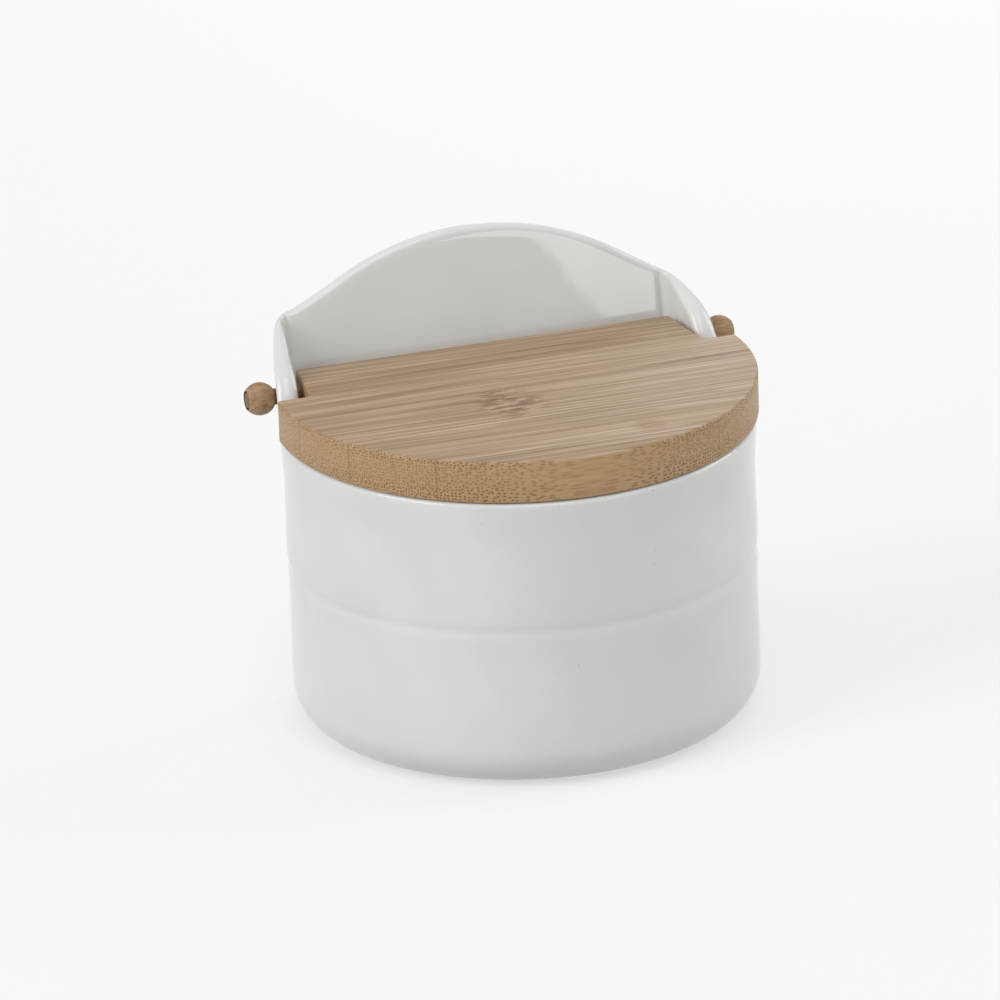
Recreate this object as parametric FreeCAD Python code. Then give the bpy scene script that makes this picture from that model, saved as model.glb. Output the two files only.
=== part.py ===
import FreeCAD
import Part
import math
import os

from FreeCAD import Vector

# Driving dimensions, all in millimetres unless a name says degrees

# Jar wall
body_radius = 65.0
wall_thickness = 4.0
floor_thickness = 5.0
rim_height = 85.5
rim_flare = 0.8
flare_length = 16.0
rim_thickness = 3.4
foot_rounding = 12.0
floor_rounding = 8.0
corner_rounding = 13.0

# Flat back and its arched plate
back_thickness = 4.2
back_outer_face = 36.4
plate_lean_degrees = 10.0
lean_start_above_rim = 3.0
arch_rise_above_rim = 43.0
arch_radius = 82.0
arch_half_width = 40.0

# Ears that carry the hinge
ear_curve_radius = 32.0
ear_curve_behind_back = 6.3
ear_curve_drop = 7.0
ear_root_rounding = 3.0
ear_inner_corner = 4.0

# Band groove round the wall
groove_height = 46.6
groove_width = 4.8
groove_depth = 0.8

# Lid board
lid_overhang = 0.4
lid_back_shift = 0.6
lid_thickness = 12.0
lid_seat_gap = 0.2
shoulder_before_hinge = 16.2
tab_behind_hinge = 4.5
tab_side_gap = 2.3
tab_flare = 1.4
shoulder_corner_rounding = 1.5
notch_corner_rounding = 2.0
tab_corner_rounding = 3.0
lid_edge_rounding = 0.8

# Hinge dowels and knobs
hinge_before_plate = 9.4
hinge_below_lid_top = 4.7
dowel_diameter = 4.5
dowel_grip = 18.0
dowel_end_chamfer = 0.3
dowel_recess = 0.3
ear_bore_clearance = 0.1
glue_gap = 0.05
glue_pocket = 0.5
knob_diameter = 9.2
knob_length = 8.4
knob_gap = 1.1

# Derived dimensions
rim_radius = body_radius + rim_flare
mouth_radius = rim_radius - rim_thickness
flare_start = rim_height - flare_length
lean_start = rim_height + lean_start_above_rim
lean_slope = math.tan(math.radians(plate_lean_degrees))
arch_top = rim_height + arch_rise_above_rim
reach_beyond = 2.0 * body_radius
shell_top = arch_top + wall_thickness
ear_curve_back = back_outer_face + ear_curve_behind_back
lid_radius = rim_radius + lid_overhang
lid_underside = rim_height + lid_seat_gap
lid_top = lid_underside + lid_thickness
hinge_height = lid_top - hinge_below_lid_top
hinge_line = back_outer_face - back_thickness - hinge_before_plate
shoulder_line = hinge_line - shoulder_before_hinge
tab_rear_edge = hinge_line + tab_behind_hinge
tab_rear_half_width = math.sqrt(mouth_radius ** 2 - tab_rear_edge ** 2) - tab_side_gap
tab_front_half_width = tab_rear_half_width + tab_flare
shoulder_half_width = math.sqrt(lid_radius ** 2 - (shoulder_line - lid_back_shift) ** 2)
tab_taper = tab_flare / (tab_rear_edge - shoulder_line)
tab_side_at_hinge = tab_front_half_width - tab_taper * (hinge_line - shoulder_line)
dowel_radius = dowel_diameter / 2.0
dowel_inner_end = tab_side_at_hinge - dowel_grip
ear_outer_at_hinge = math.sqrt(rim_radius ** 2 - hinge_line ** 2)
knob_centre = ear_outer_at_hinge + knob_gap + knob_length / 2.0
knob_outer_end = knob_centre + knob_length / 2.0


def back_face(height):
    """Outer face of the flat back, which leans rearward above the rim."""
    return back_outer_face + max(height - lean_start, 0.0) * lean_slope


def plate_front(height):
    """Inner face of the flat back at a height."""
    return back_face(height) - back_thickness


def plan_wire(radius, back, corner, height):
    """Round wall closed by a flat back, with rounded rear corners."""
    centre_y = back - corner
    centre_x = math.sqrt((radius - corner) ** 2 - centre_y ** 2)
    start_angle = math.atan2(centre_y, centre_x)
    middle_angle = (start_angle + math.pi / 2.0) / 2.0
    side_x = centre_x + corner * math.cos(start_angle)
    side_y = centre_y + corner * math.sin(start_angle)
    middle_x = centre_x + corner * math.cos(middle_angle)
    middle_y = centre_y + corner * math.sin(middle_angle)
    right_side = Vector(side_x, side_y, height)
    left_side = Vector(-side_x, side_y, height)
    right_middle = Vector(middle_x, middle_y, height)
    left_middle = Vector(-middle_x, middle_y, height)
    right_back = Vector(centre_x, back, height)
    left_back = Vector(-centre_x, back, height)
    front = Vector(0.0, -radius, height)
    return Part.Wire([
        Part.Arc(right_side, front, left_side).toShape(),
        Part.Arc(left_side, left_middle, left_back).toShape(),
        Part.makeLine(left_back, right_back),
        Part.Arc(right_back, right_middle, right_side).toShape(),
    ])


def body_outline(height):
    """Outline of the outside of the plain wall."""
    return plan_wire(body_radius, back_face(height), corner_rounding, height)


def room_outline(height):
    """Outline of the inside of the plain wall."""
    inner_corner = corner_rounding - wall_thickness
    return plan_wire(body_radius - wall_thickness, plate_front(height), inner_corner, height)


def rim_outline(height):
    """Outline of the outside of the wall at the rim and above."""
    return plan_wire(rim_radius, back_face(height), corner_rounding, height)


def mouth_outline(height):
    """Outline of the inside of the wall at the rim and above."""
    return plan_wire(rim_radius - rim_thickness, plate_front(height), ear_inner_corner, height)


def rounded_block(wire, bottom, top, rounding):
    """Upright block on an outline, with its bottom edge rounded."""
    block = Part.Face(wire).extrude(Vector(0.0, 0.0, top - bottom))
    low_edges = [e for e in block.Edges if abs(e.BoundBox.ZMax - bottom) < rounding / 10.0]
    return block.makeFillet(rounding, low_edges)


def upper_solid(low_wire, wire_at, top):
    """Upper length of the wall: the flare, the rim and the leaning plate."""
    outlines = [low_wire, wire_at(rim_height), wire_at(lean_start), wire_at(top)]
    return Part.makeLoft(outlines, True, True)


def outside_solid():
    """The jar as a full solid."""
    lower = rounded_block(body_outline(0.0), 0.0, flare_start, foot_rounding)
    return lower.fuse(upper_solid(body_outline(flare_start), rim_outline, shell_top))


def inside_solid():
    """The room inside the jar."""
    lower = rounded_block(room_outline(floor_thickness), floor_thickness, flare_start, floor_rounding)
    above_top = shell_top + wall_thickness
    return lower.fuse(upper_solid(room_outline(flare_start), mouth_outline, above_top))


def ear_cutter():
    """Everything above the rim and the ears, in front of the back plate."""
    centre_z = rim_height - ear_curve_drop
    root_z = rim_height + ear_root_rounding
    reach = ear_curve_radius + ear_root_rounding
    root_y = ear_curve_back - math.sqrt(reach ** 2 - (root_z - centre_z) ** 2)
    share = ear_curve_radius / reach
    join = Vector(
        0.0,
        ear_curve_back + (root_y - ear_curve_back) * share,
        centre_z + (root_z - centre_z) * share,
    )
    root_angle = math.atan2(join.z - root_z, join.y - root_y)
    root_middle = (root_angle - math.pi / 2.0) / 2.0
    root_end = Vector(0.0, root_y, rim_height)
    root_point = Vector(
        0.0,
        root_y + ear_root_rounding * math.cos(root_middle),
        root_z + ear_root_rounding * math.sin(root_middle),
    )
    ear_top_z = centre_z + math.sqrt(ear_curve_radius ** 2 - (ear_curve_back - plate_front(rim_height)) ** 2)
    ear_top_y = plate_front(ear_top_z)
    ear_top = Vector(
        0.0,
        ear_top_y,
        centre_z + math.sqrt(ear_curve_radius ** 2 - (ear_curve_back - ear_top_y) ** 2),
    )
    join_angle = math.atan2(join.z - centre_z, join.y - ear_curve_back)
    top_angle = math.atan2(ear_top.z - centre_z, ear_top.y - ear_curve_back)
    ear_angle = (join_angle + top_angle) / 2.0
    ear_point = Vector(
        0.0,
        ear_curve_back + ear_curve_radius * math.cos(ear_angle),
        centre_z + ear_curve_radius * math.sin(ear_angle),
    )
    high = shell_top + 2.0 * wall_thickness
    plate_high = Vector(0.0, ear_top.y + (high - ear_top.z) * lean_slope, high)
    front_high = Vector(0.0, -reach_beyond, high)
    front_low = Vector(0.0, -reach_beyond, rim_height)
    outline = Part.Wire([
        Part.makeLine(front_low, root_end),
        Part.Arc(root_end, root_point, join).toShape(),
        Part.Arc(join, ear_point, ear_top).toShape(),
        Part.makeLine(ear_top, plate_high),
        Part.makeLine(plate_high, front_high),
        Part.makeLine(front_high, front_low),
    ])
    slab = Part.Face(outline).extrude(Vector(2.0 * reach_beyond, 0.0, 0.0))
    slab.translate(Vector(-reach_beyond, 0.0, 0.0))
    return slab


def arch_cutter():
    """Everything above the arch: a round middle with straight flanks in line with it."""
    centre_z = arch_top - arch_radius
    rise = math.sqrt(arch_radius ** 2 - arch_half_width ** 2)
    flank_z = centre_z + rise
    flank_slope = arch_half_width / rise
    far_x = reach_beyond
    far_z = flank_z - (far_x - arch_half_width) * flank_slope
    high = shell_top + 2.0 * wall_thickness
    left_far = Vector(-far_x, 0.0, far_z)
    left_join = Vector(-arch_half_width, 0.0, flank_z)
    right_join = Vector(arch_half_width, 0.0, flank_z)
    right_far = Vector(far_x, 0.0, far_z)
    outline = Part.Wire([
        Part.makeLine(left_far, left_join),
        Part.Arc(left_join, Vector(0.0, 0.0, arch_top), right_join).toShape(),
        Part.makeLine(right_join, right_far),
        Part.makeLine(right_far, Vector(far_x, 0.0, high)),
        Part.makeLine(Vector(far_x, 0.0, high), Vector(-far_x, 0.0, high)),
        Part.makeLine(Vector(-far_x, 0.0, high), left_far),
    ])
    slab = Part.Face(outline).extrude(Vector(0.0, reach_beyond, 0.0))
    slab.translate(Vector(0.0, plate_front(rim_height) / 2.0, 0.0))
    return slab


def groove_ring():
    """Round bar whose inner side presses the shallow band into the wall."""
    bar_radius = ((groove_width / 2.0) ** 2 + groove_depth ** 2) / (2.0 * groove_depth)
    stand_off = bar_radius - groove_depth
    spine = plan_wire(
        body_radius + stand_off,
        back_outer_face + stand_off,
        corner_rounding + stand_off,
        groove_height,
    )
    start = spine.Edges[0].valueAt(spine.Edges[0].FirstParameter)
    along = spine.Edges[0].tangentAt(spine.Edges[0].FirstParameter)
    bar = Part.Wire([Part.makeCircle(bar_radius, start, along)])
    return Part.Wire(spine).makePipeShell([bar], True, True)


def jar_body():
    """One glazed casting: wall, floor, flat back, arched plate and two ears."""
    jar = outside_solid().cut(inside_solid())
    jar = jar.cut(ear_cutter())
    jar = jar.cut(arch_cutter())
    jar = jar.cut(groove_ring())
    bore = Part.makeCylinder(
        dowel_radius + ear_bore_clearance,
        2.0 * reach_beyond,
        Vector(-reach_beyond, hinge_line, hinge_height),
        Vector(1.0, 0.0, 0.0),
    )
    return jar.cut(bore)


def lid_outline():
    """Round front, two shoulders and a tab that fits between the ears."""
    front = Vector(0.0, lid_back_shift - lid_radius, lid_underside)
    right = [
        Vector(shoulder_half_width, shoulder_line, lid_underside),
        Vector(tab_front_half_width, shoulder_line, lid_underside),
        Vector(tab_rear_half_width, tab_rear_edge, lid_underside),
    ]
    left = [Vector(-point.x, point.y, point.z) for point in reversed(right)]
    corners = right + left
    edges = [Part.makeLine(corners[i], corners[i + 1]) for i in range(len(corners) - 1)]
    edges.append(Part.Arc(corners[-1], front, corners[0]).toShape())
    return Part.Wire(edges)


def upright_edges(solid, half_width, line):
    """Upright edges of a solid at plus and minus a half width on a line."""
    found = []
    for edge in solid.Edges:
        box = edge.BoundBox
        upright = box.ZLength > lid_thickness / 2.0
        if upright and abs(abs(box.XMin) - half_width) < glue_gap and abs(box.YMin - line) < glue_gap:
            found.append(edge)
    return found


def lid_board():
    """Flat board with rounded corners, eased edges and two blind dowel holes."""
    board = Part.Face(lid_outline()).extrude(Vector(0.0, 0.0, lid_thickness))
    board = board.makeFillet(
        shoulder_corner_rounding, upright_edges(board, shoulder_half_width, shoulder_line))
    board = board.makeFillet(
        notch_corner_rounding, upright_edges(board, tab_front_half_width, shoulder_line))
    board = board.makeFillet(
        tab_corner_rounding, upright_edges(board, tab_rear_half_width, tab_rear_edge))
    rims = [e for e in board.Edges if e.BoundBox.ZLength < lid_edge_rounding / 10.0]
    board = board.makeFillet(lid_edge_rounding, rims)
    for side in (1.0, -1.0):
        hole = Part.makeCylinder(
            dowel_radius + glue_gap,
            dowel_grip + glue_pocket + tab_front_half_width,
            Vector(side * (dowel_inner_end - glue_pocket), hinge_line, hinge_height),
            Vector(side, 0.0, 0.0),
        )
        board = board.cut(hole)
    return board


def hinge_dowel(side):
    """Plain round dowel from the tab, through the ear, into the knob."""
    length = knob_outer_end - dowel_recess - dowel_inner_end
    dowel = Part.makeCylinder(
        dowel_radius,
        length,
        Vector(side * dowel_inner_end, hinge_line, hinge_height),
        Vector(side, 0.0, 0.0),
    )
    ends = [e for e in dowel.Edges if e.BoundBox.XLength < dowel_end_chamfer]
    return dowel.makeChamfer(dowel_end_chamfer, ends)


def knob(side):
    """Round bead with flat ends, drilled through for the dowel."""
    middle = Vector(side * knob_centre, hinge_line, hinge_height)
    bead = Part.makeSphere(knob_diameter / 2.0, middle)
    band = Part.makeCylinder(
        knob_diameter,
        knob_length,
        middle - Vector(knob_length / 2.0, 0.0, 0.0),
        Vector(1.0, 0.0, 0.0),
    )
    drill = Part.makeCylinder(
        dowel_radius + glue_gap,
        2.0 * knob_length,
        middle - Vector(knob_length, 0.0, 0.0),
        Vector(1.0, 0.0, 0.0),
    )
    return bead.common(band).cut(drill)


# Every piece in its closed place
pieces = {
    "jar_body": jar_body(),
    "lid_board": lid_board(),
    "left_hinge_dowel": hinge_dowel(-1.0),
    "right_hinge_dowel": hinge_dowel(1.0),
    "left_knob": knob(-1.0),
    "right_knob": knob(1.0),
}

os.makedirs("parts", exist_ok=True)
for name, shape in pieces.items():
    shape.exportStep("parts/" + name + ".step")
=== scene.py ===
import math

import bmesh
import bpy
from mathutils import Matrix, Vector


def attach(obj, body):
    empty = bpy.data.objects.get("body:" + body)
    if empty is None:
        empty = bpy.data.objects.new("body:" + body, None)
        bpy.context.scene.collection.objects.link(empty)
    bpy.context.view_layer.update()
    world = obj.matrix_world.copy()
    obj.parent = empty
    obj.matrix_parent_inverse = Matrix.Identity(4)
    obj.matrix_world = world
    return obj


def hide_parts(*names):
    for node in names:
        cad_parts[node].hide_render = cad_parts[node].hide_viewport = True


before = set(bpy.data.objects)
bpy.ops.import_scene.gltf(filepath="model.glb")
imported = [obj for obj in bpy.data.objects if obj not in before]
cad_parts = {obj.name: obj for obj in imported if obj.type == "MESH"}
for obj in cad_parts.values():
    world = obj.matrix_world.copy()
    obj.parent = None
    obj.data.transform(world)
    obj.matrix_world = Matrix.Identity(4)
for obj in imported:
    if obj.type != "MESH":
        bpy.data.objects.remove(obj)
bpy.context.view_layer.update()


# Jar casting. One slip-cast ceramic piece: a round wall closed by a flat back, a plate that rises
# behind the lid as an arch and leans a little, and two ears left standing to carry the hinge.
# It is dipped in a thick white gloss glaze that rounds every edge; the foot is wiped bare.
jar_columns = 420

# Sizes of the casting in millimetres: outside of the wall, then the room inside.
jar_wall_radius, jar_flare = 65.0, 0.8
jar_rim_radius = jar_wall_radius + jar_flare
jar_flare_height, jar_rim_height = 69.5, 85.5
jar_back, jar_corner = 36.4, 13.0
jar_flat = 47.33
jar_swell, swell_place, hollow_place = 0.22, (54.0, 6.0), (33.0, 9.0)
jar_band_height, jar_band_depth, jar_band_width = 46.6, 0.24, 1.6
jar_foot_rounding = 12.0
jar_room_radius, jar_mouth_radius = 61.0, 62.4
jar_room_back = jar_back - 4.2
jar_room_corner, jar_mouth_corner = 9.0, 1.4
jar_floor, jar_floor_rounding, jar_floor_start = 5.0, 8.0, 20.0

# Rounding of the top edge: how deep it is, what is added along the plate and the ears, and how
# far across the wall its crest lies.
lip_depth, lip_plate_inside, lip_ear_inside, lip_plate_behind = 1.2, 0.5, 1.3, 1.8
crest_share, crest_plate_shift, crest_ear_shift = 0.5, -0.14, 0.04

# Above the rim: the lean of the back, the arch of the plate with its bend and its fall past that
# bend on each side, the ears with their roots in the rim, and the hinge.
lean_slope, lean_height, lean_bend = math.tan(math.radians(10.0)), 88.5, 1.2
lean_front, lean_rear = 4.0, 23.0
arch_middle, arch_radius, arch_shift = 47.8, 80.5, 0.2
arch_right, arch_left = (43.0, 0.62), (40.0, 0.50)
ear_middle_y, ear_middle_z, ear_radius = 42.7, 78.5, 32.0
ear_root_front, ear_root_rear, ear_root_radius = 9.16, 12.03, 3.0
ear_drop, ear_drop_from, ear_drop_to = 1.6, 17.0, 28.0
left_ear_rise, left_rise_from, left_rise_to = 2.6, 24.5, 32.5
ear_face, ear_face_slope, ear_face_limit = 59.5, 0.108, 64.1
ear_face_from, ear_face_to = 6.0, 12.0
plate_from, plate_to, plate_softness = 29.0, 34.0, 1.0
channel_x, channel_front, channel_depth, channel_width = 54.3, 25.0, 0.6, 0.8
hinge_y, hinge_z = 22.8, 93.0
rim_fall = 0.0157


def jar_outline(run, radius, back, corner):
    """Point on an outline: round wall to run 1, rear corner to run 2, flat back to run 3."""
    centre_y = back - corner
    centre_x = math.sqrt((radius - corner) ** 2 - centre_y ** 2)
    start = math.atan2(centre_y, centre_x)
    if run <= 1.0:
        turn = -math.pi / 2 + run * (start + math.pi / 2)
        return radius * math.cos(turn), radius * math.sin(turn)
    if run <= 2.0:
        turn = start + (run - 1.0) * (math.pi / 2 - start)
        return centre_x + corner * math.cos(turn), centre_y + corner * math.sin(turn)
    return centre_x * (3.0 - run), back


def jar_nearest(x, y, radius, back, corner):
    """Nearest point on an outline to a point outside it: the wall is measured square to itself."""
    centre_y = back - corner
    centre_x = math.sqrt((radius - corner) ** 2 - centre_y ** 2)
    if math.atan2(y, x) <= math.atan2(centre_y, centre_x):
        scale = radius / math.hypot(x, y)
        return x * scale, y * scale
    if x < centre_x:
        return x, back
    turn = math.atan2(y - centre_y, x - centre_x)
    return centre_x + corner * math.cos(turn), centre_y + corner * math.sin(turn)


def jar_step(value, low, high):
    """Soft step from 0 at a low value to 1 at a high one."""
    share = min(max((value - low) / (high - low), 0.0), 1.0)
    return share * share * (3.0 - 2.0 * share)


def jar_bell(value, middle, width):
    """Soft rise from 0 to 1 and back, around a middle."""
    return math.exp(-((value - middle) / width) ** 2)


def jar_soft_max(first, second, width):
    """The larger of two heights, with a soft change from one to the other."""
    return 0.5 * (first + second + math.sqrt((first - second) ** 2 + width * width))


def jar_lean(y, height):
    """The back and the rear of the ears lean rearward above the rim, with a soft bend."""
    rise = jar_soft_max(height - lean_height, 0.0, lean_bend)
    return lean_slope * rise * jar_step(y, lean_front, lean_rear)


def jar_upper(height):
    """0 on the plain wall, 1 at the rim and above it."""
    return jar_step(height, jar_flare_height, jar_rim_height)


def jar_radius(height):
    """Outer radius: swelling above the band, drawn in below it, pressed in at the band itself and
    flared at the rim."""
    swell = jar_swell * (jar_bell(height, *swell_place) - jar_bell(height, *hollow_place))
    band = jar_band_depth * jar_bell(height, jar_band_height, jar_band_width)
    return jar_wall_radius + jar_flare * jar_upper(height) + swell - band


def jar_outer(run, height):
    """Outside of the wall, right half."""
    x, y = jar_outline(run, jar_radius(height), jar_back, jar_corner)
    return x, y + jar_lean(y, height)


def jar_inner(run, height):
    """Inside of the wall, right half: thin at the rim. The ears have flat inner faces that follow
    the sides of the lid's tab and end in a tight corner with a shallow channel beside the plate."""
    upper = jar_upper(height)
    x, y = jar_outline(run, jar_radius(height), jar_back, jar_corner)
    face = jar_mouth_radius
    if y > 0.0:
        face = min(ear_face * math.hypot(x, y) / (x + ear_face_slope * y), ear_face_limit)
    flat = (face - jar_mouth_radius) * jar_step(y, ear_face_from, ear_face_to)
    radius = jar_room_radius + upper * (jar_mouth_radius - jar_room_radius + flat)
    corner = jar_room_corner - (jar_room_corner - jar_mouth_corner) * upper
    x, y = jar_nearest(x, y, radius, jar_room_back, corner)
    channel = 0.0
    if y > channel_front:
        channel = channel_depth * upper * jar_bell(x, channel_x, channel_width)
    return x, y + channel + jar_lean(y, height)


def jar_edge_height(run, side):
    """Height of the top edge: rim falling a little to the front, curved ear, then the plate's arch.
    It was trimmed by hand, so the rear of the left ear stands a little higher than the right.
    The lean moves the edge back as it rises, so the height is closed in on step by step."""
    bend, fall = arch_right if side > 0.0 else arch_left
    height = jar_rim_height
    for attempt in range(24):
        x, y = jar_outer(run, height)
        rim = jar_rim_height - rim_fall * (hinge_y - y)
        if y < ear_root_front:
            target = rim
        elif y < ear_root_rear:
            hollow = math.sqrt(max(ear_root_radius ** 2 - (y - ear_root_front) ** 2, 0.0))
            share = jar_step(y, ear_root_front, ear_root_rear)
            root = jar_rim_height + ear_root_radius - hollow
            target = root + (rim - jar_rim_height) * (1.0 - share)
        else:
            ear = ear_middle_z + math.sqrt(max(ear_radius ** 2 - (ear_middle_y - y) ** 2, 0.0))
            ear -= ear_drop * jar_step(y, ear_drop_from, ear_drop_to)
            if side < 0.0:
                ear += left_ear_rise * jar_step(y, left_rise_from, left_rise_to)
            reach = x - side * arch_shift
            arch = arch_middle + math.sqrt(arch_radius ** 2 - min(reach, bend) ** 2)
            arch -= fall * max(reach - bend, 0.0)
            plate = jar_soft_max(arch, ear, plate_softness)
            target = ear + (plate - ear) * jar_step(y, plate_from, plate_to)
        height += 0.5 * (target - height)
    return height


# Lengths along one side of the rim: round wall, rear corner, flat back.
jar_turn = math.atan2(jar_back - jar_corner, jar_flat)
jar_spans = [jar_rim_radius * (jar_turn + math.pi / 2),
             jar_corner * (math.pi / 2 - jar_turn),
             jar_flat]


def jar_run(along):
    """Outline position for a length along the rim."""
    wall, corner, flat = jar_spans
    if along < wall:
        return along / wall
    if along < wall + corner:
        return 1.0 + (along - wall) / corner
    return min(2.0 + (along - wall - corner) / flat, 3.0)


# The top edge is walked in equal steps, so that the steep fronts of the ears get as many points,
# and in closer steps past the tight corners.
jar_steps = 3000
jar_stations = []
for side in (1.0, -1.0):
    walk = [sum(jar_spans) * i / jar_steps for i in range(jar_steps + 1)]
    tops = [jar_edge_height(jar_run(along), side) for along in walk]
    lengths = [0.0]
    for i in range(jar_steps):
        run = jar_run(walk[i])
        crowd = 1.0 + 4.0 * jar_step(run, 1.1, 1.2) * (1.0 - jar_step(run, 1.7, 1.85))
        stride = math.hypot(walk[i + 1] - walk[i], tops[i + 1] - tops[i])
        lengths.append(lengths[-1] + crowd * stride)
    half = []
    seek = 0
    for i in range(jar_columns // 2 + 1):
        wanted = lengths[-1] * i / (jar_columns // 2)
        while seek < jar_steps - 1 and lengths[seek + 1] < wanted:
            seek += 1
        share = (wanted - lengths[seek]) / (lengths[seek + 1] - lengths[seek])
        half.append((walk[seek] + share * (walk[seek + 1] - walk[seek]),
                     tops[seek] + share * (tops[seek + 1] - tops[seek])))
    stations = []
    for i, (along, top) in enumerate(half):
        before, after = half[max(i - 1, 0)], half[min(i + 1, len(half) - 1)]
        run_step, rise_step = after[0] - before[0], after[1] - before[1]
        length = math.hypot(run_step, rise_step)
        stations.append((along, top, -rise_step / length, run_step / length, side))
    jar_stations += stations if side > 0.0 else list(reversed(stations[1:-1]))


def jar_ring(place):
    """One ring of the casting in metres, a point for every column."""
    points = []
    for along, top, out, up, side in jar_stations:
        x, y, z = place(along, top, out, up)
        points.append(Vector((side * x, y, z)) * 0.001)
    return points


def jar_foot_ring(turn):
    """Rounded foot: the outline drawn in by the rounding."""
    inset = jar_foot_rounding * (1.0 - math.sin(turn))
    height = jar_foot_rounding * (1.0 - math.cos(turn))
    size = (jar_wall_radius - inset, jar_back - inset, jar_corner - inset)
    return jar_ring(lambda along, top, out, up: (*jar_outline(jar_run(along), *size), height))


def jar_wall_ring(surface, height):
    """Ring of the plain wall, level all round."""
    return jar_ring(lambda along, top, out, up: (*surface(jar_run(along), height), height))


def jar_ear_share(along):
    """1 along the ears, 0 on the rim and the plate."""
    run = jar_run(along)
    return jar_step(run, 0.835, 0.875) * (1.0 - jar_step(run, 1.0, 1.5))


def jar_plate_share(along):
    """1 along the plate, 0 on the rim and the ears."""
    return jar_step(jar_run(along), 1.5, 2.1)


def jar_lip(along, inside):
    """How far down the rounding of the top edge reaches: furthest inside the ears and on the back
    of the plate."""
    plate = jar_plate_share(along)
    if inside:
        return lip_depth + lip_plate_inside * plate + lip_ear_inside * jar_ear_share(along)
    return lip_depth + lip_plate_behind * plate


def jar_rise_ring(surface, share):
    """Ring between the plain wall and the top edge."""
    def place(along, top, out, up):
        lip = jar_lip(along, surface is jar_inner)
        height = jar_flare_height + (top - lip * up - jar_flare_height) * share
        run = jar_run(max(along - out * lip * share * share, 0.0))
        return (*surface(run, height), height)
    return jar_ring(place)


def jar_lip_ring(turn):
    """Ring over the rounded top edge, from the outside to the inside."""
    def place(along, top, out, up):
        drop = jar_lip(along, turn > math.pi / 2) * (1.0 - math.sin(turn))
        crest = (crest_share + crest_plate_shift * jar_plate_share(along)
                 + crest_ear_shift * jar_ear_share(along))
        across = crest + math.cos(turn) * (crest if turn > math.pi / 2 else 1.0 - crest)
        run = jar_run(max(along - out * drop, 0.0))
        height = top - up * drop
        (in_x, in_y), (out_x, out_y) = jar_inner(run, height), jar_outer(run, height)
        return in_x + across * (out_x - in_x), in_y + across * (out_y - in_y), height
    return jar_ring(place)


def jar_floor_ring(turn):
    """Rounded inner foot, down to the floor."""
    inset = jar_floor_rounding * (1.0 - math.sin(turn))
    height = jar_floor + jar_floor_rounding * (1.0 - math.cos(turn))
    size = (jar_room_radius - inset, jar_room_back - inset, jar_room_corner - inset)
    return jar_ring(lambda along, top, out, up: (
        *jar_nearest(*jar_outer(jar_run(along), jar_floor_start), *size), height))


# The rings run up the outside, over the top edge, down the inside and in to the floor; they lie
# closest at the band.
jar_outer_heights = (16, 20, 24, 28, 32, 36, 39, 41.5, 43, 43.7, 44.2, 44.7, 45.3, 46, 46.6, 47.2,
                     47.9, 48.5, 49, 49.5, 50.2, 51.5, 54, 57, 60, 63, 66.5, jar_flare_height)
jar_inner_heights = (60, 50, 40, 30, 20)
jar_shares = [i / 12 for i in range(12)] + [0.965]
jar_quarter = [math.radians(9.0 * i) for i in range(11)]
jar_rings = [jar_foot_ring(turn) for turn in jar_quarter]
jar_rings += [jar_wall_ring(jar_outer, height) for height in jar_outer_heights]
jar_rings += [jar_rise_ring(jar_outer, share) for share in jar_shares[1:] + [1.0]]
jar_rings += [jar_lip_ring(math.pi * i / 12) for i in range(1, 13)]
jar_rings += [jar_rise_ring(jar_inner, share) for share in reversed(jar_shares)]
jar_rings += [jar_wall_ring(jar_inner, height) for height in jar_inner_heights]
jar_rings += [jar_floor_ring(turn) for turn in reversed(jar_quarter)]

bpy.ops.object.select_all(action="DESELECT")
bpy.ops.mesh.primitive_circle_add(vertices=len(jar_stations), radius=0.05, fill_type="NGON")
jar = bpy.context.object
jar.name = "jar_casting"
bpy.ops.object.mode_set(mode="EDIT")
shape = bmesh.from_edit_mesh(jar.data)
shape.verts.ensure_lookup_table()
ring = list(range(len(jar_stations)))
for index, point in zip(ring, jar_rings[0]):
    shape.verts[index].co = point
for points in jar_rings[1:]:
    bpy.ops.mesh.extrude_region_move()
    shape = bmesh.from_edit_mesh(jar.data)
    shape.verts.ensure_lookup_table()
    grown = {}
    for vertex in shape.verts:
        if vertex.select:
            below = [edge.other_vert(vertex) for edge in vertex.link_edges]
            grown[[other.index for other in below if not other.select][0]] = vertex.index
    ring = [grown[index] for index in ring]
    for index, point in zip(ring, points):
        shape.verts[index].co = point
bmesh.update_edit_mesh(jar.data)
bpy.ops.mesh.select_all(action="SELECT")
bpy.ops.mesh.normals_make_consistent(inside=False)
bpy.ops.object.mode_set(mode="OBJECT")
bpy.ops.object.shade_smooth()

# The bores through the ears, one drill for both. From here on, sizes are in metres.
bore_radius = 0.00235
hinge_place = (0.0, hinge_y * 0.001, hinge_z * 0.001)
along_hinge = (0.0, math.pi / 2, 0.0)
bpy.ops.object.select_all(action="DESELECT")
bpy.ops.mesh.primitive_cylinder_add(vertices=48, radius=bore_radius, depth=0.2,
                                    rotation=along_hinge, location=hinge_place)
drill = bpy.context.object
bpy.ops.object.select_all(action="DESELECT")
bpy.context.view_layer.objects.active = jar
jar.select_set(True)
bpy.ops.object.modifier_add(type="BOOLEAN")
jar.modifiers[-1].object = drill
jar.modifiers[-1].operation = "DIFFERENCE"
jar.modifiers[-1].solver = "EXACT"
bpy.ops.object.modifier_apply(modifier=jar.modifiers[-1].name)
bpy.data.objects.remove(drill, do_unlink=True)


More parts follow.
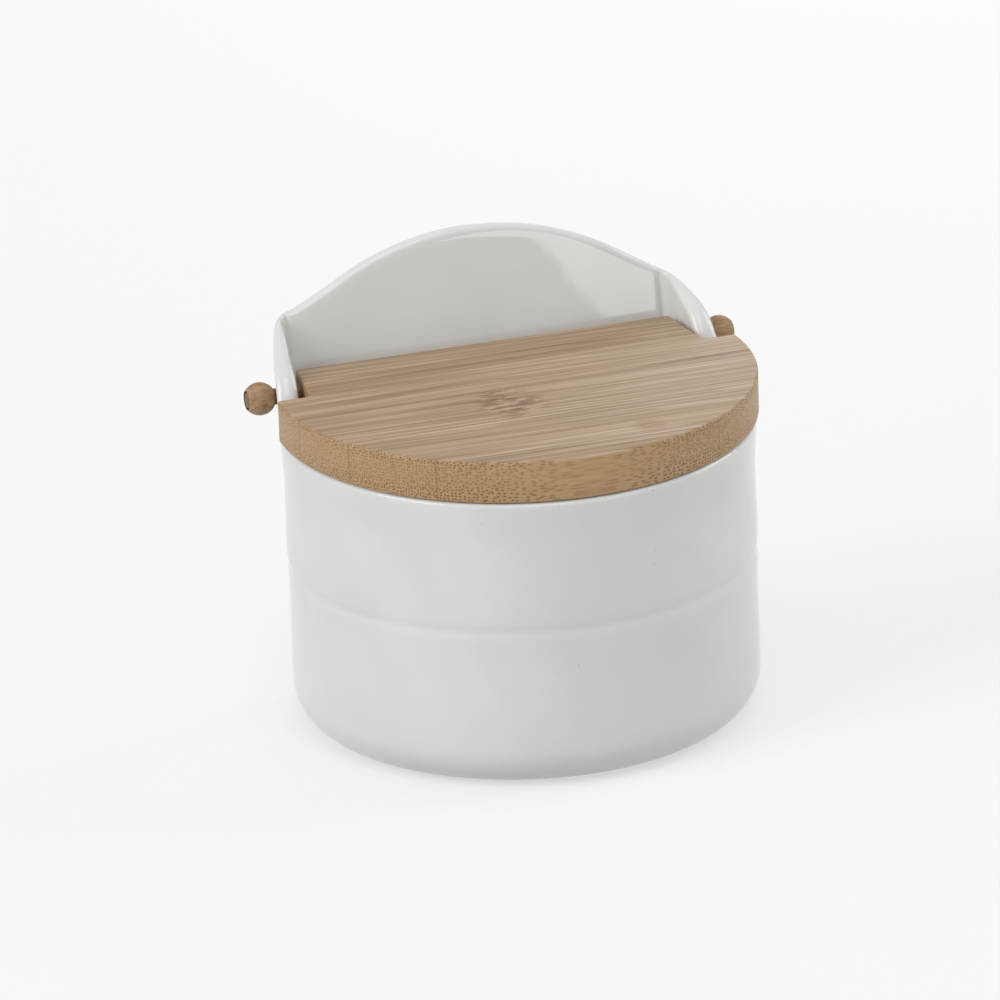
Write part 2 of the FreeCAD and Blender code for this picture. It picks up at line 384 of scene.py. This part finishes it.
class Tone:
    """A value running through a finish, so that its maths reads as plain sums."""

    def __init__(self, tree, socket):
        self.tree = tree
        self.socket = socket

    def node(self, kind, settings, inputs, output=0):
        """Any other node: its settings first, then the values or links of its sockets."""
        made = self.tree.nodes.new(kind)
        for name, value in settings.items():
            setattr(made, name, value)
        for name, value in inputs.items():
            if isinstance(value, Tone):
                self.tree.links.new(value.socket, made.inputs[name])
            else:
                made.inputs[name].default_value = value
        return Tone(self.tree, made.outputs[output])

    def sum(self, operation, first, second):
        """A sum of two values."""
        return self.node("ShaderNodeMath", {"operation": operation}, {0: first, 1: second})

    def __add__(self, other):
        return self.sum("ADD", self, other)

    def __radd__(self, other):
        return self.sum("ADD", other, self)

    def __sub__(self, other):
        return self.sum("SUBTRACT", self, other)

    def __rsub__(self, other):
        return self.sum("SUBTRACT", other, self)

    def __mul__(self, other):
        return self.sum("MULTIPLY", self, other)

    def __rmul__(self, other):
        return self.sum("MULTIPLY", other, self)

    def __truediv__(self, other):
        return self.sum("DIVIDE", self, other)

    def __gt__(self, other):
        return self.sum("GREATER_THAN", self, other)

    def __lt__(self, other):
        return self.sum("LESS_THAN", self, other)

    def alone(self, operation):
        """A sum on this value by itself."""
        return self.node("ShaderNodeMath", {"operation": operation}, {0: self})

    def size(self):
        """The value without its sign."""
        return self.alone("ABSOLUTE")

    def part(self, index):
        """One coordinate of a place."""
        return self.node("ShaderNodeSeparateXYZ", {}, {0: self}, index)

    def fade(self, low, high, start=0.0, end=1.0):
        """Soft step between two values."""
        return self.node("ShaderNodeMapRange", {"interpolation_type": "SMOOTHSTEP"},
                         {0: self, 1: low, 2: high, 3: start, 4: end})

    def stretch(self, scale):
        """The same place, stretched along each axis."""
        return self.node("ShaderNodeMapping", {}, {"Vector": self, "Scale": scale})

    def noise(self, scale, detail=2.0, rough=0.5):
        """Cloudy variation at a place."""
        return self.node("ShaderNodeTexNoise", {}, {
            "Vector": self, "Scale": scale, "Detail": detail, "Roughness": rough}, "Fac")

    def other_noise(self, seed):
        """Cloudy variation that shares nothing with the first kind."""
        return self.node("ShaderNodeTexNoise", {"noise_dimensions": "4D"}, {
            "Vector": self, "W": seed, "Scale": 1.0, "Detail": 1.0}, "Fac")

    def between(self, first, second):
        """Colour between two colours."""
        return self.node("ShaderNodeMix", {"data_type": "RGBA"}, {0: self, 6: first, 7: second}, 2)

    def tint(self, base, colour):
        """A colour laid over another by this much, multiplied in."""
        return self.node("ShaderNodeMix", {"data_type": "RGBA", "blend_type": "MULTIPLY"},
                         {0: self, 6: base, 7: colour}, 2)

    def relief(self, strength, depth):
        """Fine relief of the surface at this height."""
        return self.node("ShaderNodeBump", {}, {
            "Strength": strength, "Distance": depth, "Height": self})

    def feed(self, node, name):
        """Link this value to a socket of a shader."""
        self.tree.links.new(self.socket, node.inputs[name])


def new_finish(name):
    """A new finish with its shader, the place on the piece and the way its surface faces."""
    finish = bpy.data.materials.new(name)
    finish.use_nodes = True
    nodes = finish.node_tree.nodes
    outputs = nodes.new("ShaderNodeTexCoord").outputs
    place, facing = (Tone(finish.node_tree, outputs[kind]) for kind in ("Object", "Normal"))
    return finish, nodes["Principled BSDF"], place, facing


# Glaze: cool white, glassy, very slightly uneven, with a few pinholes; bare biscuit under the foot.
glaze_thin, glaze_pooled = (0.74, 0.742, 0.73, 1.0), (0.775, 0.775, 0.765, 1.0)
pinhole_colour = (0.24, 0.21, 0.18, 1.0)
biscuit_colour = (0.66, 0.63, 0.57, 1.0)
glaze, glaze_shader, place, facing = new_finish("white_glaze")
bare = (facing.part(2) < -0.985) * (place.part(2) < 0.0012)
pooling = place.noise(38.0, 2.0)
pin_cells = {"Vector": place, "Scale": 170.0}
pin_distance = place.node("ShaderNodeTexVoronoi", {}, pin_cells, "Distance")
pin_chance = place.node("ShaderNodeTexVoronoi", {}, pin_cells, "Color")
pins = (1.0 - pin_distance.fade(0.02, 0.06)) * (pin_chance.part(0) > 0.85)
glaze_colour = pooling.fade(0.3, 0.7).between(glaze_thin, glaze_pooled)
glaze_colour = (pins * 0.45).between(glaze_colour, pinhole_colour)
glaze_colour = bare.between(glaze_colour, biscuit_colour)
glaze_colour.feed(glaze_shader, "Base Color")
(0.022 + 0.014 * place.noise(120.0, 3.0) + bare * 0.6).feed(glaze_shader, "Roughness")
glaze_waves = place.noise(55.0, 1.0) + 0.08 * place.noise(420.0, 2.0) - pins * 0.5
glaze_waves.relief(0.035, 0.0006).feed(glaze_shader, "Normal")
glaze_shader.inputs["IOR"].default_value = 1.5
jar.data.materials.clear()
jar.data.materials.append(glaze)
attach(jar, "jar")
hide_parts("jar_body")


# Lid board. A 12 mm bamboo board glued up from strips that run side to side, sawn to a round front
# with a tab that drops between the ears; edges eased with fine paper, rubbed with a thin clear oil.
# It hangs on the two hinge dowels glued into the sides of the tab.
lid_top, lid_thickness = 0.0977, 0.012
lid_radius, lid_centre = 0.0668, 0.00115
lid_shoulder, lid_rear = 0.0076, 0.0289
lid_tab_half, lid_tab_rear_half = 0.0570, 0.0546
lid_easing = 0.0007
lid_drop = math.radians(0.9)
bpy.ops.object.select_all(action="DESELECT")
bpy.ops.mesh.primitive_circle_add(vertices=168, radius=lid_radius, fill_type="NGON",
                                  location=(0.0, lid_centre, lid_top))
lid = bpy.context.object
lid.name = "lid_bamboo_board"
bpy.ops.object.transform_apply(location=True, rotation=True, scale=True)
bpy.ops.object.mode_set(mode="EDIT")
bpy.ops.mesh.select_all(action="SELECT")
bpy.ops.mesh.bisect(plane_co=(0.0, lid_shoulder, lid_top), plane_no=(0.0, 1.0, 0.0),
                    clear_outer=True)
for tab_side in (lid_tab_half, -lid_tab_half):
    bpy.ops.mesh.select_all(action="SELECT")
    bpy.ops.mesh.bisect(plane_co=(tab_side, 0.0, lid_top), plane_no=(1.0, 0.0, 0.0))


def pick(piece, kind, test):
    """Select the corners or edges of a piece whose points all pass a test."""
    bpy.ops.mesh.select_mode(type=kind)
    bpy.ops.mesh.select_all(action="DESELECT")
    shape = bmesh.from_edit_mesh(piece.data)
    for part in (shape.verts if kind == "VERT" else shape.edges):
        points = [part.co] if kind == "VERT" else [v.co for v in part.verts]
        part.select_set(all(test(p) for p in points))
    shape.select_flush_mode()
    bmesh.update_edit_mesh(piece.data)


def near(a, b):
    """Two lengths are the same to a hundredth of a millimetre."""
    return abs(a - b) < 1e-5


pick(lid, "EDGE", lambda p: near(p.y, lid_shoulder) and abs(p.x) < lid_tab_half + 1e-4)
bpy.ops.mesh.extrude_edges_move(
    TRANSFORM_OT_translate={"value": (0.0, lid_rear - lid_shoulder, 0.0)})
bpy.ops.transform.resize(value=(lid_tab_rear_half / lid_tab_half, 1.0, 1.0),
                         center_override=(0.0, lid_rear, lid_top))
bpy.ops.mesh.select_mode(type="FACE")
bpy.ops.mesh.select_all(action="SELECT")
bpy.ops.mesh.dissolve_limited(angle_limit=0.005)
for reach, segments, test in (
    (0.0007, 3, lambda p: near(p.y, lid_shoulder) and abs(p.x) > lid_tab_half + 1e-4),
    (0.0020, 6, lambda p: near(p.y, lid_shoulder) and near(abs(p.x), lid_tab_half)),
    (0.0008, 3, lambda p: near(p.y, lid_rear)),
):
    pick(lid, "VERT", test)
    bpy.ops.mesh.bevel(offset=reach, segments=segments, affect="VERTICES")
bpy.ops.mesh.select_mode(type="FACE")
bpy.ops.mesh.select_all(action="SELECT")
bpy.ops.mesh.extrude_region_move(TRANSFORM_OT_translate={"value": (0.0, 0.0, -lid_thickness)})
bpy.ops.mesh.select_all(action="SELECT")
bpy.ops.mesh.normals_make_consistent(inside=False)
for face_height in (lid_top, lid_top - lid_thickness):
    pick(lid, "EDGE", lambda p: near(p.z, face_height))
    bpy.ops.mesh.bevel(offset=lid_easing, segments=4, affect="EDGES")
bpy.ops.object.mode_set(mode="OBJECT")
bpy.ops.object.shade_smooth_by_angle(angle=math.radians(35.0))

# The board drops a little to the front about its hinge, as it rests on the falling rim.
hinge = Matrix.Translation(hinge_place)
lid.matrix_world = hinge @ Matrix.Rotation(lid_drop, 4, "X") @ hinge.inverted()
bpy.ops.object.transform_apply(location=True, rotation=True, scale=True)

# Bamboo: fibre bundles run along the strips through the whole board, so the same bundles show as
# fine streaks on top, as dots on the sawn ends and as dashes between them. They crowd towards the
# faces.
grain_dark, grain_light = (0.362, 0.234, 0.130, 1.0), (0.470, 0.328, 0.200, 1.0)
band_tint, strip_tint = (0.96, 0.945, 0.925, 1.0), (0.95, 0.93, 0.90, 1.0)
edge_colour, end_tint = (0.605, 0.390, 0.168, 1.0), (0.88, 0.85, 0.82, 1.0)
dark_line, light_line = (0.225, 0.130, 0.064, 1.0), (0.650, 0.515, 0.380, 1.0)
bundle_colour, joint_colour = (0.185, 0.080, 0.026, 1.0), (0.190, 0.110, 0.055, 1.0)
halo_tint, knuckle_tint = (0.82, 0.72, 0.62, 1.0), (0.78, 0.66, 0.54, 1.0)
faint_tint = (0.78, 0.62, 0.54, 1.0)
stroke_dark, stroke_light = (0.165, 0.086, 0.040, 1.0), (0.590, 0.425, 0.280, 1.0)
strip_start, strip_width = 0.115, 0.021
bamboo, bamboo_shader, place, facing = new_finish("oiled_bamboo")
level = facing.part(2).size().fade(0.55, 0.85)
edge = 1.0 - level
end_cut = facing.part(0).size().fade(0.02, 0.50)
strips = (place.part(1) + strip_start) / strip_width
strip_tone = place.node("ShaderNodeTexWhiteNoise", {"noise_dimensions": "1D"},
                        {"W": strips.alone("FLOOR")}, "Value")
joint = (strips.alone("FRACT") - 0.5).size().fade(0.480, 0.496)


def knuckle(x, y, wide, deep):
    """Where a joint of the cane crosses a strip."""
    off_x = (place.part(0) - x) / wide
    off_y = (place.part(1) - y) / deep
    return 1.0 - (off_x * off_x + off_y * off_y).fade(0.05, 1.0)


main_knuckle = knuckle(-0.0085, -0.0195, 0.0115, 0.0140)
knuckle_halo = knuckle(-0.0160, -0.0180, 0.0240, 0.0130)
faint_knuckle = knuckle(0.0215, -0.0500, 0.0060, 0.0060)

# The fibres swerve at the knuckles, and each strip shows its own.
stir = place.stretch((260.0, 330.0, 330.0)).noise(1.0, 2.0) - 0.5
bent = place.node("ShaderNodeCombineXYZ", {}, {
    0: place.part(0),
    1: place.part(1) + stir * main_knuckle * 0.0075 + stir * faint_knuckle * 0.0025,
    2: place.part(2) + strip_tone * 0.04})
across = place.node("ShaderNodeCombineXYZ", {}, {
    0: bent.part(1) * 1650.0, 1: bent.part(2) * 1120.0})
bundle_distance = place.node("ShaderNodeTexVoronoi", {"voronoi_dimensions": "2D"}, {
    "Vector": across, "Scale": 1.0, "Randomness": 0.68}, "Distance")
lid_half = lid_thickness / 2
skin = ((place.part(2) - (lid_top - lid_half)) / lid_half).size()
bundles = (1.0 - bundle_distance.fade(0.19, 0.34)) * (0.55 + 0.45 * skin.fade(0.20, 0.85))
streaks = bent.stretch((13.0, 1100.0, 900.0)).noise(1.0, 2.0, 0.6)
bands = bent.stretch((5.0, 120.0, 60.0)).noise(1.0, 2.0)
wander = bent.stretch((7.0, 170.0, 150.0)).noise(1.0, 2.0)
ripple = (bent.part(1) * 2400.0 + bent.part(2) * 1900.0 + wander * 24.0).alone("SINE")
shown = bent.stretch((16.0, 420.0, 380.0)).noise(1.0, 1.0)
dark_lines = bent.stretch((9.0, 920.0, 760.0)).noise(1.0, 1.0).fade(0.555, 0.635) * 0.55
dark_lines = dark_lines + ripple.fade(0.30, 0.95) * shown.fade(0.42, 0.58) * 0.85
light_lines = bent.stretch((10.0, 1000.0, 820.0)).other_noise(3.7).fade(0.565, 0.645) * 0.55
light_ripple = (0.0 - ripple).fade(0.30, 0.95)
light_lines = light_lines + light_ripple * (1.0 - shown).fade(0.44, 0.60) * 0.80
strokes = place.stretch((170.0, 620.0, 620.0)).other_noise(8.1)
dark_strokes, light_strokes = strokes.fade(0.52, 0.57), 1.0 - strokes.fade(0.41, 0.46)
top_knuckle = main_knuckle * level
grain = streaks.fade(0.30, 0.70).between(grain_dark, grain_light)
grain = bands.fade(0.3, 0.7).tint(grain, band_tint)
grain = strip_tone.tint(grain, strip_tint)
grain = (edge * 0.50).between(grain, edge_colour)
grain = (dark_lines * (0.14 + 0.46 * level)).between(grain, dark_line)
grain = (light_lines * (0.14 + 0.44 * level)).between(grain, light_line)
grain = (end_cut * edge * 0.6).tint(grain, end_tint)
grain = (bundles * (0.40 + 0.55 * end_cut) * edge).between(grain, bundle_colour)
grain = (joint * (0.36 - 0.22 * level)).between(grain, joint_colour)
grain = (knuckle_halo * level * 0.45).tint(grain, halo_tint)
grain = (top_knuckle * 0.50).tint(grain, knuckle_tint)
grain = (top_knuckle * dark_strokes * 0.62).between(grain, stroke_dark)
grain = (top_knuckle * light_strokes * 0.55).between(grain, stroke_light)
grain = (faint_knuckle * level * 0.55).tint(grain, faint_tint)
grain.feed(bamboo_shader, "Base Color")
(0.36 + 0.12 * streaks + 0.12 * bundles).feed(bamboo_shader, "Roughness")
bamboo_relief = streaks * 0.5 + light_lines * 0.2 - dark_lines * 0.2 - bundles * edge * 0.6
bamboo_relief.relief(0.25, 0.00025).feed(bamboo_shader, "Normal")
lid.data.materials.append(bamboo)
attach(lid, "lid")
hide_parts("lid_board")


# Hinge dowels. Plain turned hardwood dowels, cut to length with eased ends, glued into the sides of
# the tab; they turn in the bores of the ears and carry a knob on their outer ends.
dowel_inner, dowel_outer = 0.03612, 0.07068
dowel_radius, dowel_easing = 0.00225, 0.0002
bpy.ops.object.select_all(action="DESELECT")
bpy.ops.mesh.primitive_cylinder_add(vertices=48, radius=dowel_radius,
                                    depth=dowel_outer - dowel_inner, rotation=along_hinge,
                                    location=((dowel_inner + dowel_outer) / 2, *hinge_place[1:]))
right_dowel = bpy.context.object
right_dowel.name = "right_dowel_turned"
bpy.ops.object.transform_apply(location=True, rotation=True, scale=True)
bpy.ops.object.mode_set(mode="EDIT")
for end in (dowel_inner, dowel_outer):
    pick(right_dowel, "EDGE", lambda p: near(p.x, end))
    bpy.ops.mesh.bevel(offset=dowel_easing, segments=3, affect="EDGES")
bpy.ops.object.mode_set(mode="OBJECT")
bpy.ops.object.shade_smooth_by_angle(angle=math.radians(35.0))

# The dowel colours are a dark hardwood brown made darker still as painted shade, standing in for
# the shade on the dowels in the gaps between the ears and the tab.
dowel_dark_and_shade, dowel_light_and_shade = (0.190, 0.112, 0.056, 1.0), (0.300, 0.190, 0.102, 1.0)
dowel_pore, dowel_end_tint = (0.105, 0.056, 0.026, 1.0), (0.80, 0.74, 0.68, 1.0)
dowel_finish_and_shade, dowel_shader, place, facing = new_finish("turned_dowel_wood_and_painted_shade")
end_cut = facing.part(0).size().fade(0.75, 0.95)
grain_run = place.stretch((40.0, 1500.0, 1500.0)).noise(1.0, 3.0, 0.6)
pores = place.stretch((90.0, 3600.0, 3600.0)).noise(1.0, 2.0)
wood_colour = grain_run.fade(0.3, 0.7).between(dowel_dark_and_shade, dowel_light_and_shade)
wood_colour = (pores.fade(0.58, 0.72) * 0.6).between(wood_colour, dowel_pore)
wood_colour = (end_cut * 0.8).tint(wood_colour, dowel_end_tint)
wood_colour.feed(dowel_shader, "Base Color")
(0.50 + 0.15 * grain_run).feed(dowel_shader, "Roughness")
(grain_run - pores * 0.6).relief(0.25, 0.0002).feed(dowel_shader, "Normal")
right_dowel.data.materials.append(dowel_finish_and_shade)


def other_side(piece, name):
    """The same piece for the left side, with a mesh of its own."""
    bpy.ops.object.select_all(action="DESELECT")
    piece.select_set(True)
    bpy.context.view_layer.objects.active = piece
    bpy.ops.object.duplicate()
    twin = bpy.context.object
    twin.name = name
    twin.scale.x = -1.0
    bpy.ops.object.transform_apply(location=True, rotation=True, scale=True)
    bpy.ops.object.mode_set(mode="EDIT")
    bpy.ops.mesh.select_all(action="SELECT")
    bpy.ops.mesh.normals_make_consistent(inside=False)
    bpy.ops.object.mode_set(mode="OBJECT")
    return twin


left_dowel = other_side(right_dowel, "left_dowel_turned")
for dowel, node in ((left_dowel, "left_hinge_dowel"), (right_dowel, "right_hinge_dowel")):
    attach(dowel, "lid")
    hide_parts(node)


# Knobs. Small round beads turned from a paler wood, drilled through and glued on the dowels, so
# that each end shows the ring of the drilled hole with the dowel's cut end in it.
knob_middle, knob_radius, knob_end = 0.06702, 0.0046, 0.00382
knob_hole_depth, knob_easing = 0.0018, 0.00014
bpy.ops.object.select_all(action="DESELECT")
bpy.ops.mesh.primitive_uv_sphere_add(segments=56, ring_count=40, radius=knob_radius,
                                     rotation=along_hinge,
                                     location=(knob_middle, *hinge_place[1:]))
right_knob = bpy.context.object
right_knob.name = "right_knob_bead"
bpy.ops.object.transform_apply(location=True, rotation=True, scale=True)
bpy.ops.object.mode_set(mode="EDIT")
for way in (1.0, -1.0):
    mouth = knob_middle + way * knob_end
    bpy.ops.mesh.select_all(action="SELECT")
    bpy.ops.mesh.bisect(plane_co=(mouth, *hinge_place[1:]), plane_no=(way, 0.0, 0.0),
                        clear_outer=True)
    pick(right_knob, "EDGE", lambda p: near(p.x, mouth))
    bpy.ops.mesh.extrude_edges_move(
        TRANSFORM_OT_translate={"value": (-way * knob_hole_depth, 0.0, 0.0)})
    pick(right_knob, "EDGE", lambda p: near(p.x, mouth))
    bpy.ops.mesh.bevel(offset=knob_easing, segments=2, affect="EDGES")
bpy.ops.mesh.select_all(action="SELECT")
bpy.ops.mesh.normals_make_consistent(inside=False)
bpy.ops.object.mode_set(mode="OBJECT")
bpy.ops.object.shade_smooth_by_angle(angle=math.radians(50.0))

bead_dark, bead_light = (0.318, 0.196, 0.096, 1.0), (0.455, 0.296, 0.156, 1.0)
bead_pore, bead_cloud_tint = (0.170, 0.096, 0.046, 1.0), (0.88, 0.84, 0.80, 1.0)
bead_wood, bead_shader, place = new_finish("turned_bead_wood")[:3]
grain_run = place.stretch((90.0, 900.0, 900.0)).noise(1.0, 3.0, 0.6)
pores = place.stretch((350.0, 2600.0, 2600.0)).noise(1.0, 2.0)
clouds = place.noise(420.0, 2.0)
wood_colour = grain_run.fade(0.3, 0.7).between(bead_dark, bead_light)
wood_colour = (pores.fade(0.56, 0.70) * 0.55).between(wood_colour, bead_pore)
wood_colour = clouds.fade(0.35, 0.65).tint(wood_colour, bead_cloud_tint)
wood_colour.feed(bead_shader, "Base Color")
(0.46 + 0.18 * grain_run).feed(bead_shader, "Roughness")
(grain_run - pores * 0.6).relief(0.25, 0.0002).feed(bead_shader, "Normal")
right_knob.data.materials.append(bead_wood)
left_knob = other_side(right_knob, "left_knob_bead")
for bead, node in ((left_knob, "left_knob"), (right_knob, "right_knob")):
    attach(bead, "lid")
    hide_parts(node)


# Floor. A wide sheet of white paper under the jar. The camera and the glaze see it almost white,
# while it lights the jar from below much less.
paper_colour = (0.42, 0.42, 0.42, 1.0)
paper_glow, paper_seen_glow = (0.15, 0.15, 0.15, 1.0), (0.53, 0.53, 0.53, 1.0)
bpy.ops.object.select_all(action="DESELECT")
bpy.ops.mesh.primitive_plane_add(size=14.0, location=(0.0, 0.0, 0.0))
floor = bpy.context.object
floor.name = "paper_floor"
paper = bpy.data.materials.new("white_paper")
paper.use_nodes = True
paper_shader = paper.node_tree.nodes["Principled BSDF"]
paper_shader.inputs["Base Color"].default_value = paper_colour
paper_shader.inputs["Roughness"].default_value = 0.9
paper_shader.inputs["Specular IOR Level"].default_value = 0.0
paper_shader.inputs["Emission Strength"].default_value = 1.0
ray = paper.node_tree.nodes.new("ShaderNodeLightPath").outputs
by_camera, by_glaze = (Tone(paper.node_tree, ray[kind])
                       for kind in ("Is Camera Ray", "Is Glossy Ray"))
(by_camera + by_glaze).between(paper_glow, paper_seen_glow).feed(paper_shader, "Emission Color")
floor.data.materials.append(paper)


# Light. An even white room, broad soft boxes from both sides with the left one stronger, a weaker
# one from the front above, a panel behind that gives the lid its sheen, and a tilted white card in
# front that the plate mirrors.
room_strength = 0.55
jar_aim, card_aim = (0.0, 0.0, 0.07), (0.3575, 0.0, 0.1335)
room = bpy.data.worlds.new("white_room")
bpy.context.scene.world = room
room.use_nodes = True
room.node_tree.nodes["Background"].inputs["Color"].default_value = (1.0, 1.0, 1.0, 1.0)
room.node_tree.nodes["Background"].inputs["Strength"].default_value = room_strength
for name, stand, aim, wide, tall, roll, power in (
    ("left_box", (-2.9, -0.72, 1.85), jar_aim, 1.9, 1.9, 0.0, 47.0),
    ("right_box", (2.9, 0.16, 1.45), jar_aim, 1.6, 1.6, 0.0, 23.5),
    ("top_box", (-0.30, -1.75, 2.85), jar_aim, 1.6, 1.6, 0.0, 16.5),
    ("rear_panel", (0.46, 0.80, 0.44), jar_aim, 0.45, 0.5, 0.0, 0.85),
    ("front_card", (0.3575, -0.9, 0.1335), card_aim, 0.10, 0.20, 34.2, 0.17),
):
    lamp_data = bpy.data.lights.new(name, "AREA")
    lamp = bpy.data.objects.new(name, lamp_data)
    bpy.context.scene.collection.objects.link(lamp)
    lamp_data.shape = "RECTANGLE"
    lamp_data.size, lamp_data.size_y = wide, tall
    lamp_data.energy = power
    lamp.location = stand
    lamp.rotation_euler = (Vector(stand) - Vector(aim)).to_track_quat("Z", "Y").to_euler()
    lamp.rotation_euler.rotate_axis("Z", math.radians(roll))


# Camera. A long lens from the front left, a little above the lid and a little rolled; the frame is
# shifted by whole and half pixels of the photo, so that the jar sits where the photo has it.
camera_turn, camera_rise = math.radians(-17.77), math.radians(20.49)
camera_roll = math.radians(2.15)
camera_distance, camera_aim = 3.095, Vector((0.0, 0.0, 0.0516))
sensor_width, lens_lengths, photo_width = 36.0, 11.207, 1000.0
shift_right, shift_down = 22.0, 31.5
camera_data = bpy.data.cameras.new("product_camera")
camera = bpy.data.objects.new("product_camera", camera_data)
bpy.context.scene.collection.objects.link(camera)
look_back = Vector((math.sin(camera_turn) * math.cos(camera_rise),
                    -math.cos(camera_turn) * math.cos(camera_rise),
                    math.sin(camera_rise)))
level_right = Vector((math.cos(camera_turn), math.sin(camera_turn), 0.0))
level_up = look_back.cross(level_right)
right = level_right * math.cos(camera_roll) - level_up * math.sin(camera_roll)
up = level_right * math.sin(camera_roll) + level_up * math.cos(camera_roll)
pixel = camera_distance / (photo_width * lens_lengths)
camera_stand = (camera_aim + look_back * camera_distance
                - right * (shift_right * pixel) + up * (shift_down * pixel))
camera.matrix_world = Matrix((
    (right.x, up.x, look_back.x, camera_stand.x),
    (right.y, up.y, look_back.y, camera_stand.y),
    (right.z, up.z, look_back.z, camera_stand.z),
    (0.0, 0.0, 0.0, 1.0)))
camera_data.sensor_width = sensor_width
camera_data.lens = sensor_width * lens_lengths
camera_data.clip_end = 100.0
bpy.context.scene.camera = camera
bpy.context.scene.view_settings.view_transform = "Standard"
